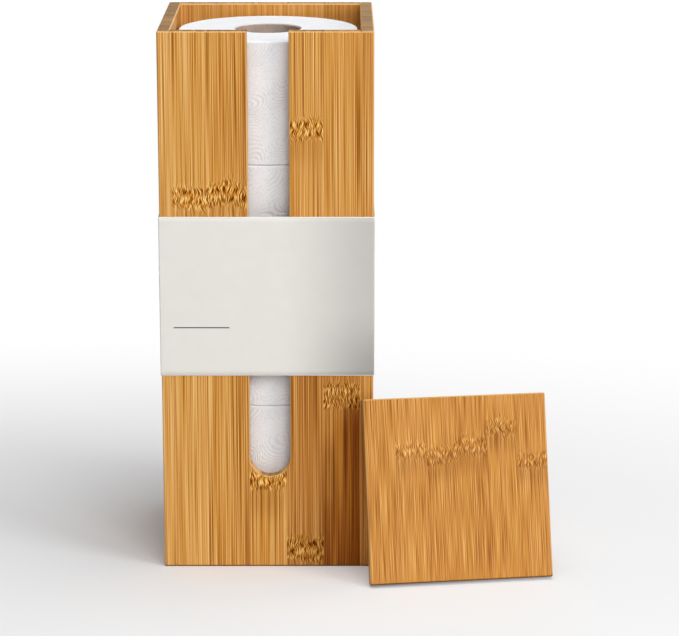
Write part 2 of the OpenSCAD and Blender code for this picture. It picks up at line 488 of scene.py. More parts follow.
@dataclass(frozen=True)
class Finish:
    """A finish with its Principled shader's plain values.

    Attributes:
        name: the material's name.
        roughness: roughness where no node drives it.
        specular: the specular level.
        bump: how strongly the height shows.
        relief: the height's real depth.
    """

    name: str
    roughness: float = 0.5
    specular: float = 0.5
    bump: float = 0.3
    relief: float = 0.1 * MM

    def dress(self, graph: Graph, place: Wire, facing: Wire) -> dict[str, Term]:
        """Draws the finish; each one has its own.

        Args:
            graph: the material's graph.
            place: Object coordinates.
            facing: the normal in the object's own frame.

        Returns:
            Terms for the shader's inputs by name, with "Height" for the bump.
        """
        raise NotImplementedError

    def blank(self) -> tuple[Material, Graph, Node]:
        """Makes a material whose shader has the plain values.

        Returns:
            The material, its graph and its Principled shader.
        """
        material = bpy.data.materials.new(self.name)
        material.use_nodes = True
        shader = material.node_tree.nodes["Principled BSDF"]
        shader.inputs["Roughness"].default_value = self.roughness
        shader.inputs["Specular IOR Level"].default_value = self.specular
        return material, Graph(material.node_tree), shader

    def material(self) -> Material:
        """Finds the finish's material, or makes it.

        Returns:
            The material.
        """
        known = bpy.data.materials.get(self.name)
        if known:
            return known
        material, graph, shader = self.blank()
        coordinates = graph.add("TexCoord").outputs
        made = self.dress(graph, Wire(graph, coordinates["Object"]), Wire(graph, coordinates["Normal"]))
        bump = {"Strength": self.bump, "Distance": self.relief, "Height": made.pop("Height")}
        made["Normal"] = graph.wire("Bump", bump.items())
        for name, term in made.items():
            graph.feed(shader.inputs[name], term)
        return material

    def put_on(self, *objects: Object) -> None:
        """Makes this the only material of each object.

        Args:
            *objects: the objects.
        """
        for obj in objects:
            obj.data.materials.clear()
            obj.data.materials.append(self.material())


class Grain(Enum):
    """How a board lies: which axes run across its strips, along them and through it."""

    UPRIGHT_FACING_FRONT = (0, 2, 1)
    UPRIGHT_FACING_SIDE = (1, 2, 0)
    LYING = (0, 1, 2)


@dataclass(frozen=True)
class Ring:
    """One knuckle band on a strip.

    Attributes:
        across: its middle across the strips.
        along: its middle along them.
        half_width: half its width.
        half_height: half its height.
        tail: how far the strip is darker below it.
        dark: how dark that tail is, from 0 to 1.
        clear: how clearly its marks show, from 0 to 1.
    """

    across: float
    along: float
    half_width: float
    half_height: float
    tail: float = 18 * MM
    dark: float = 0.22
    clear: float = 1.0


@dataclass(frozen=True)
class Bamboo(Finish):
    """Pressed bamboo boards.

    Attributes:
        grain: how the board lies in its own frame.
        strip_width: width of a strip.
        shift: distance from a strip's edge to the zero of the axis across them.
        seed: which draws its strips take.
        rings: the knuckle bands.
        tints: how much lighter or darker each strip is, or nothing if they are drawn by chance.
        fineness: how many times narrower its fibres are than the widest.
        shortness: how many times shorter its fibres are than the longest.
        contrast: how far its fibres differ in tone.
        turn: the board's turn in the model's frame.
        foot: the point of the model's frame that is the board's own zero.
    """

    specular: float = 0.2
    grain: Grain = Grain.UPRIGHT_FACING_FRONT
    strip_width: float = 26.4 * MM
    shift: float = 0.0
    seed: float = 0.0
    rings: tuple[Ring, ...] = ()
    tints: tuple[float, ...] = ()
    fineness: float = 1.12
    shortness: float = 0.65
    contrast: float = 1.04
    turn: Triple = (0.0, 0.0, 0.0)
    foot: Triple = (0.0, 0.0, 0.0)

    def own(self, graph: Graph, vector: Wire, foot: Triple) -> Wire:
        """Takes a vector into the board's frame.

        Args:
            graph: the material's graph.
            vector: a place or a direction in the model's frame.
            foot: the board's zero for a place, or zeros for a direction.

        Returns:
            The vector as across, along and through.
        """
        inputs = {"Location": foot, "Rotation": self.turn, "Vector": vector}
        axes = graph.parts(graph.wire("Mapping", inputs.items(), vector_type="TEXTURE"))
        return graph.joined(*(axes[index] for index in self.grain.value))

    def tint(self, graph: Graph, place: Wire) -> Wire:
        """Reads a strip's tint off steps of grey, or draws it by chance.

        Args:
            graph: the material's graph.
            place: across, along and through the board.

        Returns:
            What is added to the strip's tone.
        """
        count = (graph.parts(place)[0] + self.shift) / self.strip_width
        if not self.tints:
            luck, _ = graph.chance(graph.number("FLOOR", count) + (self.seed + 0.5))
            return (luck - 0.5) * 0.14
        strips = len(self.tints)
        steps = tuple((index / strips, (0.5 + tint,) * 3 + (1.0,)) for index, tint in enumerate(self.tints))
        return graph.parts(graph.scale(count / float(strips), steps, stepped=True))[0] - 0.5

    def dress(self, graph: Graph, place: Wire, facing: Wire) -> dict[str, Term]:
        """Strips on the faces, end grain on the sawn ends, a painted highlight on the eased edges, and a
        painted contact shadow along the foot.
        """
        place = self.own(graph, place, self.foot)
        faces = BoardFaces().place(graph, facing=self.own(graph, facing, (0.0, 0.0, 0.0)))
        masks: dict[str, Term] = {"Band": 0.0, "Halo": 0.0, "Stain": 0.0}
        for ring in self.rings:
            made = Knuckle().place(graph, place=place, **vars(ring))
            masks = {name: graph.number("MAXIMUM", masks[name], made[name]) for name in masks}
        lie = {"place": place, "strip_width": self.strip_width, "shift": self.shift, "seed": self.seed}
        strips = BambooStrips().place(graph, tint=self.tint(graph, place), fineness=self.fineness,
                                      shortness=self.shortness, contrast=self.contrast, **lie, **masks)
        colour = graph.blend(faces["End"], strips["Colour"], EndGrain().place(graph, **lie)["Colour"])
        along = graph.parts(place)[1]
        # Painted highlight: the eased edges are paler, except near the foot.
        painted_edge_highlight = faces["Arris"] * graph.rise(along, 1 * MM, 4 * MM)
        colour = graph.blend(painted_edge_highlight * 0.45, colour, paint(240, 194, 134))
        # Painted contact shadow: the lowest 1.6 mm of the board darkens.
        colour = graph.blend(graph.rise(along, 1.6 * MM, 0.2 * MM), colour, paint(104, 62, 22))
        return {"Base Color": colour, "Roughness": strips["Roughness"], "Height": strips["Height"]}


@dataclass(frozen=True)
class Tissue(Finish):
    """Soft white tissue: faint clouds and crepe, painted shade in the embossed valleys, and fine turns on the
    ends.
    """

    def dress(self, graph: Graph, place: Wire, facing: Wire) -> dict[str, Term]:
        """The paper's fibre everywhere, the emboss attribute on the wall and rings of 0.5 mm on the ends."""
        fibre = PaperFibre().place(graph, place=place, cloud=0.5)
        emboss = graph.wire("Attribute", out="Fac", attribute_name="emboss")
        x, y, z = graph.parts(place)
        turns = graph.noise(graph.joined(graph.length(x, y), 0.0, z * 0.02), (2100.0, 1.0, 1.0))
        ends = graph.rise(abs(graph.parts(facing)[2]), 0.85, 0.97)
        colour = graph.scale(fibre["Tone"], ((0.30, paint(242, 244, 248)), (0.70, paint(250, 252, 255))))
        crepe = graph.rise(graph.noise(place, (700.0, 700.0, 1300.0), detail=1.0), 0.52, 0.36)
        # Painted shade: the embossed valleys grey, and the crepe's grey dashes grow stronger in them.
        colour = graph.blend(crepe * emboss.line(0.5, 0.5) * 0.30, colour, paint(190, 190, 194))
        colour = graph.blend(emboss * 0.34, colour, paint(206, 205, 206))
        shade = ends * graph.rise(turns, 0.56, 0.40)
        colour = graph.blend(shade * 0.22, colour, paint(222, 222, 226))
        return {"Base Color": colour, "Height": (turns * ends).line(1.5, fibre["Height"])}


@dataclass(frozen=True)
class Cardboard(Finish):
    """Grey-brown tube board with flecks and pale scuffs."""

    def dress(self, graph: Graph, place: Wire, facing: Wire) -> dict[str, Term]:
        """Fibre flecks of 0.6 mm over soft clouds, and the seam attribute's darker groove."""
        fibre = PaperFibre().place(graph, place=place, cloud=0.45)
        seam = graph.wire("Attribute", out="Fac", attribute_name="seam")
        colour = graph.scale(fibre["Tone"], (
            (0.30, paint(166, 146, 134)), (0.50, paint(190, 170, 158)), (0.70, paint(208, 190, 178))))
        flecks = graph.rise(graph.noise(place, (900.0, 900.0, 260.0), detail=1.0), 0.64, 0.72)
        colour = graph.blend(flecks * 0.5, colour, paint(112, 94, 82))
        return {"Base Color": graph.blend(seam * 0.6, colour, paint(118, 100, 88)), "Height": fibre["Height"]}


@dataclass(frozen=True)
class BandPaper(Finish):
    """Warm white card of the band, with a thin printed rule on its front and paler cut edges that carry a
    painted highlight.

    Attributes:
        rule_from: left end of the rule.
        rule_to: right end.
        rule_at: its height.
        rule_width: its thickness.
        low: height of the band's lower edge.
        high: height of its upper edge.
        shade_from: where on the front the painted shade starts to deepen to the right.
        shade_to: where it is deepest.
    """

    rule_from: float = 0.0
    rule_to: float = 0.0
    rule_at: float = 0.0
    rule_width: float = 0.8 * MM
    low: float = 0.0
    high: float = 0.0
    shade_from: float = 0.0
    shade_to: float = 0.0

    def dress(self, graph: Graph, place: Wire, facing: Wire) -> dict[str, Term]:
        """Faint clouds of card, a painted shade that deepens to the right and most of all in the lower
        corner, the rule where all four of its edges are met, and a 0.6 mm pale edge with a painted highlight."""
        fibre = PaperFibre().place(graph, place=place, cloud=0.6)
        x, y, z = graph.parts(place)
        colour = graph.scale(fibre["Tone"], ((0.30, paint(232, 229, 222)), (0.70, paint(236, 233, 226))))
        # Painted shade: the front darkens towards the right, and most of all in its lower right corner.
        right = graph.rise(x, self.shade_from, self.shade_to)
        lower = graph.rise(z, self.low + 0.45 * (self.high - self.low), self.low)
        front = graph.rise(graph.parts(facing)[1], -0.4, -0.9)
        colour = graph.blend(right * lower.line(0.28, 0.37) * front, colour, paint(92, 90, 88))
        middle, half = (self.rule_from + self.rule_to) / 2, (self.rule_to - self.rule_from) / 2
        thin = self.rule_width / 2
        beside = graph.rise(abs(x - middle), half + 0.05 * MM, half - 0.05 * MM)
        level = graph.rise(abs(z - self.rule_at), thin + 0.1 * MM, thin - 0.1 * MM)
        colour = graph.blend(beside * level * graph.number("LESS_THAN", y, 0.0), colour, paint(62, 60, 56))
        # Paler cut edges, which also paint the highlight along the card's edges.
        edge = graph.number("MINIMUM", z - self.low, self.high - z)
        colour = graph.blend(graph.rise(edge, 0.9 * MM, 0.3 * MM), colour, paint(247, 243, 233))
        return {"Base Color": colour, "Height": fibre["Height"]}


@dataclass(frozen=True)
class TurnedDowel(Finish):
    """Pale beech dowel with fine lengthwise flecks."""

    def dress(self, graph: Graph, place: Wire, facing: Wire) -> dict[str, Term]:
        """Flecks are noise stretched along X, the dowels' length."""
        flecks = graph.noise(place, (90.0, 1400.0, 1400.0))
        colour = graph.scale(flecks, ((0.35, paint(196, 160, 112)), (0.60, paint(226, 198, 156))))
        return {"Base Color": colour, "Height": flecks}


@dataclass(frozen=True)
class StudioFloor(Finish):
    """A plain pale floor that turns to clean white away from the object.

    Attributes:
        half: half the floor's width.
        under: how far it lies under the object.
        white_from: distance behind the object's middle at which it starts to whiten.
        white_at: distance at which it is white.
        white_side: how far left of the object's middle those distances are measured from.
        side_share: how much a distance to the side counts against one to the back.
    """

    name: str = "studio_floor"
    roughness: float = 0.9
    specular: float = 0.1
    half: float = 12.0
    under: float = 0.05 * MM
    white_from: float = 0.0
    white_at: float = 0.6
    white_side: float = 0.12
    side_share: float = 0.6

    def build(self) -> None:
        """The floor as one square just under the object."""
        mesh = bpy.data.meshes.new(self.name)
        turns = ((-1, -1), (1, -1), (1, 1), (-1, 1))
        square = [(x * self.half, y * self.half, -self.under) for x, y in turns]
        mesh.from_pydata(square, [], [(0, 1, 2, 3)])
        mesh.materials.append(self.material())
        linked(self.name, mesh)

    def material(self) -> Material:
        """Makes a matte pale grey that the camera and reflections see as white from white_at on.

        Returns:
            The material.
        """
        material, graph, shader = self.blank()
        place = graph.wire("TexCoord", out="Object")
        pale = ((0.3, paint(240, 241, 243)), (0.7, paint(244, 245, 246)))
        graph.feed(shader.inputs["Base Color"], graph.scale(graph.noise(place, (3.0, 3.0, 3.0)), pale))
        x, y, _ = graph.parts(place)
        away = graph.length((x + self.white_side) * self.side_share, y)
        seen = graph.seen("Camera", "Glossy", "Transmission")
        graph.show("Material Output", seen * graph.rise(away, self.white_from, self.white_at),
                   Wire(graph, shader.outputs[0]), graph.wire("Emission"))
        return material


@dataclass(frozen=True)
class Softbox:
    """A square soft lamp that faces the object.

    Attributes:
        name: its name.
        place: where it stands.
        size: its side.
        power: its power in watts.
        aim: the point it faces.
    """

    name: str
    place: Triple
    size: float
    power: float
    aim: Triple = (0.05, 0.0, 0.18)

    def build(self) -> None:
        """Adds the lamp."""
        lamp = bpy.data.lights.new(self.name, "AREA")
        lamp.shape, lamp.size, lamp.energy = "SQUARE", self.size, self.power
        obj = linked(self.name, lamp)
        obj.location = self.place
        obj.rotation_euler = (Vector(self.aim) - Vector(self.place)).to_track_quat("-Z", "Y").to_euler()


@dataclass(frozen=True)
class Studio:
    """The camera, the lamps, the pale floor and the white surroundings.

    Attributes:
        camera_place: where the camera stands.
        pitch: how far it looks down, in degrees.
        lens_pixels: its focal length in pixels of the picture.
        picture_width: the picture's width in pixels.
        sensor: the camera's sensor width in millimetres.
        ambient: strength of the light from all round.
        lamps: the soft lamps.
    """

    camera_place: Triple = (0.051, -1.916, 0.657)
    pitch: float = 14.38
    lens_pixels: float = 2696.0
    picture_width: float = 679.0
    sensor: float = 36.0
    ambient: float = 0.04
    lamps: tuple[Softbox, ...] = (
        Softbox("key", (3.515, -2.43, 1.725), 1.8, 80.0),
        Softbox("front", (0.79, -3.24, 2.42), 2.4, 67.5),
        Softbox("top", (0.10, -0.12, 2.08), 1.2, 21.0),
        Softbox("back", (0.35, 1.90, 0.80), 1.4, 6.0),
    )

    def build(self) -> None:
        """Adds them all and sets the plain colour transform."""
        self.camera()
        self.surroundings()
        for lamp in self.lamps:
            lamp.build()
        StudioFloor().build()
        bpy.context.scene.view_settings.view_transform = "Standard"

    def camera(self) -> None:
        """Adds the camera, which looks along +Y and down."""
        data = bpy.data.cameras.new("camera")
        data.sensor_width = self.sensor
        data.lens = self.lens_pixels / self.picture_width * data.sensor_width
        data.clip_start, data.clip_end = 0.05, 60.0
        camera = linked("camera", data)
        camera.location = self.camera_place
        camera.rotation_euler = (math.radians(90 - self.pitch), 0.0, 0.0)
        bpy.context.scene.camera = camera

    def surroundings(self) -> None:
        """A world that is white to the camera and through glass, and lights the object more softly."""
        world = bpy.data.worlds.new("surroundings")
        world.use_nodes = True
        bpy.context.scene.world = world
        graph = Graph(world.node_tree)
        light = world.node_tree.nodes["Background"]
        light.inputs["Strength"].default_value = self.ambient
        light.inputs["Color"].default_value = WHITE
        graph.show("World Output", graph.seen("Camera", "Transmission"), Wire(graph, light.outputs[0]),
                   graph.wire("Background", [("Color", WHITE)]))


def ripples(first: np.ndarray, second: np.ndarray, wavelength: float, seed: int,
            count: int = 7) -> np.ndarray:
    """Soft unevenness over a surface: a sum of plane waves in random directions and phases.

    Args:
        first: one coordinate of each point.
        second: the other.
        wavelength: the waves' typical length, from which each differs by up to a third.
        seed: picks the waves.
        count: how many waves.

    Returns:
        Numbers from about -1 to 1, one for each point.
    """
    draw = np.random.default_rng(seed)
    total = np.zeros(np.broadcast(first, second).shape)
    for angle, phase, stretch in zip(draw.uniform(0, math.tau, count), draw.uniform(0, math.tau, count),
                                     draw.uniform(0.7, 1.35, count)):
        way = first * math.cos(angle) + second * math.sin(angle)
        total += np.sin(math.tau * way / (wavelength * stretch) + phase)
    return total / math.sqrt(count)


def profile(*stretches: tuple[np.ndarray | float, ...]) -> tuple[np.ndarray, ...]:
    """Joins the stretches of a profile.

    Args:
        *stretches: each as the same few entries, such as radius and height; an entry that is a plain number
            holds all along its stretch.

    Returns:
        Each entry over the whole profile, as an upright column to be carried round an axis.
    """
    rows = [np.stack(np.broadcast_arrays(*map(np.atleast_1d, stretch))) for stretch in stretches]
    return tuple(np.concatenate(rows, axis=1)[:, :, None])


def carried_round(radius: np.ndarray, angle: np.ndarray, height: np.ndarray) -> np.ndarray:
    """Places round the upright axis: radius times the angle's cosine and sine, and the height."""
    return np.stack(np.broadcast_arrays(radius * np.cos(angle), radius * np.sin(angle), height), axis=-1)


def surface(name: str, places: np.ndarray, closed: bool = False,
            sharp_over: float = 40.0) -> Object:
    """Makes a mesh object from a grid of places, faces outwards where rows cross columns right-handed.

    Args:
        name: the object's name.
        places: an array of rows by columns by 3.
        closed: whether the last row joins the first, and the last column too.
        sharp_over: edges that turn by more than this many degrees stay sharp.

    Returns:
        The object, linked to the scene.
    """
    rows, columns = places.shape[:2]
    index = np.arange(rows * columns).reshape(rows, columns)
    if closed:
        index = np.pad(index, (0, 1), mode="wrap")
    quads = np.stack([index[:-1, :-1], index[:-1, 1:], index[1:, 1:], index[1:, :-1]], axis=-1).reshape(-1, 4)
    mesh = bpy.data.meshes.new(name)
    mesh.vertices.add(rows * columns)
    mesh.vertices.foreach_set("co", places.reshape(-1).astype(np.float32))
    mesh.loops.add(quads.size)
    mesh.loops.foreach_set("vertex_index", quads.reshape(-1).astype(np.int32))
    mesh.polygons.add(len(quads))
    mesh.polygons.foreach_set("loop_start", np.arange(0, quads.size, 4, dtype=np.int32))
    mesh.polygons.foreach_set("use_smooth", np.ones(len(quads), bool))
    mesh.update(calc_edges=True)
    mesh.validate()
    mesh.set_sharp_from_angle(angle=math.radians(sharp_over))
    return linked(name, mesh)


def mark(obj: Object, name: str, values: np.ndarray) -> None:
    """Writes a number for each vertex as an attribute that the finishes read."""
    attribute = obj.data.attributes.new(name, "FLOAT", "POINT")
    attribute.data.foreach_set("value", values.reshape(-1).astype(np.float32))


@dataclass
class BambooBox:
    """The four glued boards, the raised floor panel and the hidden dowels.

    Attributes:
        cross_strips: strips in the front and in the back board.
        side_strips: strips in a side board.
        front_rings: the front board's knuckles as strip from the left, and in millimetres the height of the
        middle, half the height and the length of the tail below; last, how dark the tail is. The long dark
        tail on the fifth strip is painted shade of the lid's shadow.
        front_stains: stretches of the front board that are darker, as the middle across, half the width and
            the
        height from which they go down, in millimetres; last, how dark they are. Those on the two right strips
        are painted shade of the lid's shadow, and the narrow one left of the slot is a darker streak of the
        wood.
        stain_tail: how far down they would fade.
        front_tints: tints of the front board's strips.
        left_tints: tints of the left side board's strips, from the front to the back.
        right_tints: tints of the right side board's strips.
        ring_half: typical half height of the other boards' knuckles.
        ring_gap: typical distance between two knuckles of one strip.
        hidden_at: height, behind the band, of the knuckles on strips that also show on the front face.
        planed: how much of a side board's outer strips was planed off with their glue lines.
    """

    cross_strips: int = 5
    side_strips: int = 6
    front_rings: tuple[tuple[int, float, float, float, float], ...] = (
        (0, 271.5, 7.6, 18, 0.15), (1, 273.5, 8.2, 18, 0.22), (3, 319.0, 6.8, 24, 0.18),
        # The knuckle on the fifth strip has a long dark tail that is painted shade of the lid's shadow.
        (4, 127.5, 8.6, 900, 0.70), (2, 65.0, 5.8, 30, 0.25), (3, 13.5, 8.8, 20, 0.25))
    # Darker stretches: on the two right strips they are painted shade where the lid shadows the board.
    front_stains: tuple[tuple[float, float, float, float], ...] = (
        (-15.3, 2.0, 400, 0.30), (19.5, 6.3, 200, 0.38), (32.7, 6.9, 200, 0.50), (52.8, 13.2, 220, 0.42),
        (52.4, 4.9, 160, 0.88), (61.6, 4.4, 165, 0.94), (43.8, 4.0, 100, 0.84))
    stain_tail: float = 1200 * MM
    front_tints: tuple[float, ...] = (0.06, 0.01, 0.0, 0.02, 0.01)
    left_tints: tuple[float, ...] = (0.08, 0.0, 0.05, -0.05, 0.02, -0.02)
    right_tints: tuple[float, ...] = (-0.05, 0.04, -0.06, 0.02, 0.06, -0.03)
    ring_half: float = 8.0 * MM
    ring_gap: float = 230 * MM
    hidden_at: float = 200 * MM
    planed: float = 0.6 * MM

    def cross_lie(self, node: str) -> dict[str, float]:
        """The strips' width, and the shift to their edge, in a board that lies across the box."""
        low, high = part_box(node)
        return {"strip_width": (high.x - low.x) / self.cross_strips, "shift": -low.x}

    def front_finish(self) -> Bamboo:
        """The front board's bamboo, with its knuckles where they are seen and darker stretches, mostly
        painted shade of the lid.

        Returns:
            The finish.
        """
        lie = self.cross_lie("front_panel")
        left, width = -lie["shift"], lie["strip_width"]
        rings = [Ring(left + (strip + 0.5) * width, along * MM, width / 2, half * MM, tail * MM, dark)
                 for strip, along, half, tail, dark in self.front_rings]
        # Rings without marks darken stretches of the board, mostly as painted shade of the lid's shadow.
        rings += [Ring(middle * MM, height * MM, half * MM, half_height=1 * MM, tail=self.stain_tail,
                       dark=dark, clear=0.0) for middle, half, height, dark in self.front_stains]
        return Bamboo("front_board_bamboo", specular=0.08, seed=11.0, rings=tuple(rings),
                      tints=self.front_tints, **lie)

    def drawn_rings(self, low: float, width: float, count: int, height: float, seed: int,
                    hide_ends: bool) -> tuple[Ring, ...]:
        """Knuckles for a board that the reference view doesn't show.

        Args:
            low: where the first strip starts.
            width: a strip's width.
            count: how many strips.
            height: the board's height.
            seed: picks the heights.
            hide_ends: whether the end strips' knuckles lie behind the band.

        Returns:
            One or two knuckles for each strip.
        """
        draw = np.random.default_rng(seed)
        rings = []
        for strip in range(count):
            at = draw.uniform(0.06, 0.5) * height
            half = self.ring_half * draw.uniform(0.7, 1.2)
            end = hide_ends and strip in (0, count - 1)
            gap = self.ring_gap * draw.uniform(0.8, 1.25)
            heights = [self.hidden_at] if end else np.arange(at, height - 2 * half, gap)
            rings += [Ring(low + (strip + 0.5) * width, float(along), width / 2, half) for along in heights]
        return tuple(rings)

    def back_finish(self) -> Bamboo:
        """The back board's bamboo.

        Returns:
            The finish.
        """
        lie, top = self.cross_lie("back_panel"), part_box("back_panel")[1].z
        rings = self.drawn_rings(-lie["shift"], lie["strip_width"], self.cross_strips, top, seed=5,
                                 hide_ends=False)
        return Bamboo("back_board_bamboo", seed=41.0, rings=rings, contrast=0.60, **lie)

    def side_finish(self, node: str, seed: int, tints: tuple[float, ...]) -> Bamboo:
        """A side board's bamboo.

        Args:
            node: the board.
            seed: picks its strips and knuckles.
            tints: tints of its strips, from the front to the back.

        Returns:
            The finish.
        """
        low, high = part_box(node)
        start = low.y - self.planed
        width = (high.y + self.planed - start) / self.side_strips
        rings = self.drawn_rings(start, width, self.side_strips, high.z, seed, hide_ends=True)
        return Bamboo(node + "_bamboo", grain=Grain.UPRIGHT_FACING_SIDE, strip_width=width, shift=-start,
                      seed=float(seed), rings=rings, tints=tints, contrast=0.86)

    def build(self) -> list[Object]:
        """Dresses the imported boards, panel and dowels.

        Returns:
            Their objects.
        """
        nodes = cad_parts
        finishes = {
            "front_panel": self.front_finish(),
            "back_panel": self.back_finish(),
            "left_side_panel": self.side_finish("left_side_panel", 23, self.left_tints),
            "right_side_panel": self.side_finish("right_side_panel", 31, self.right_tints),
            "base_panel": Bamboo("floor_panel_bamboo", grain=Grain.LYING, seed=61.0,
                                 **self.cross_lie("base_panel"))}
        for name, finish in finishes.items():
            finish.put_on(nodes[name])
        dowels = [nodes[f"dowels_{face}_{side}"] for face in ("front", "back") for side in ("left", "right")]
        TurnedDowel("dowel_beech", roughness=0.6, specular=0.3).put_on(*dowels)
        return [nodes[name] for name in finishes] + dowels


@dataclass
class LeaningLid:
    """The square lid, which leans on the box's front right edge.

    Attributes:
        lean: its backward lean in degrees.
        yaw: the turn of its right end towards the back, in degrees.
        strips: strips across it.
        rings: its knuckles as strip from the left, and in millimetres the height of the middle and half the
            height.
        ring_clear: how clearly their marks show.
        tints: tints of its strips.
    """

    lean: float = 17.0
    yaw: float = 8.2
    strips: int = 6
    rings: tuple[tuple[int, float, float], ...] = (
        (1, 92.8, 4.2), (2, 89.4, 5.6), (3, 96.0, 6.6), (4, 108.1, 5.4), (5, 83.0, 5.0))
    ring_clear: float = 0.62
    tints: tuple[float, ...] = (-0.09, -0.07, -0.10, -0.11, -0.08, -0.10)

    def build(self) -> list[Object]:
        """Finds the lid's own frame from its packed corners and dresses it in bamboo that runs up it.

        Returns:
            The lid, alone in a list.
        """
        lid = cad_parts["lid"]
        turn = Euler((math.radians(-self.lean), 0.0, math.radians(self.yaw)))
        packed = np.empty(3 * len(lid.data.vertices))
        lid.data.vertices.foreach_get("co", packed)
        own = packed.reshape(-1, 3) @ np.array(turn.to_matrix())
        low, high = own.min(0), own.max(0)
        foot = turn.to_matrix() @ Vector(low)
        width = float(high[0] - low[0]) / self.strips
        rings = tuple(Ring((strip + 0.5) * width, along * MM, width / 2, half * MM, clear=self.ring_clear)
                      for strip, along, half in self.rings)
        Bamboo("lid_board_bamboo", strip_width=width, seed=83.0, rings=rings, tints=self.tints, fineness=1.5,
               shortness=2.0, contrast=0.82, turn=tuple(turn), foot=tuple(foot)).put_on(lid)
        return [lid]


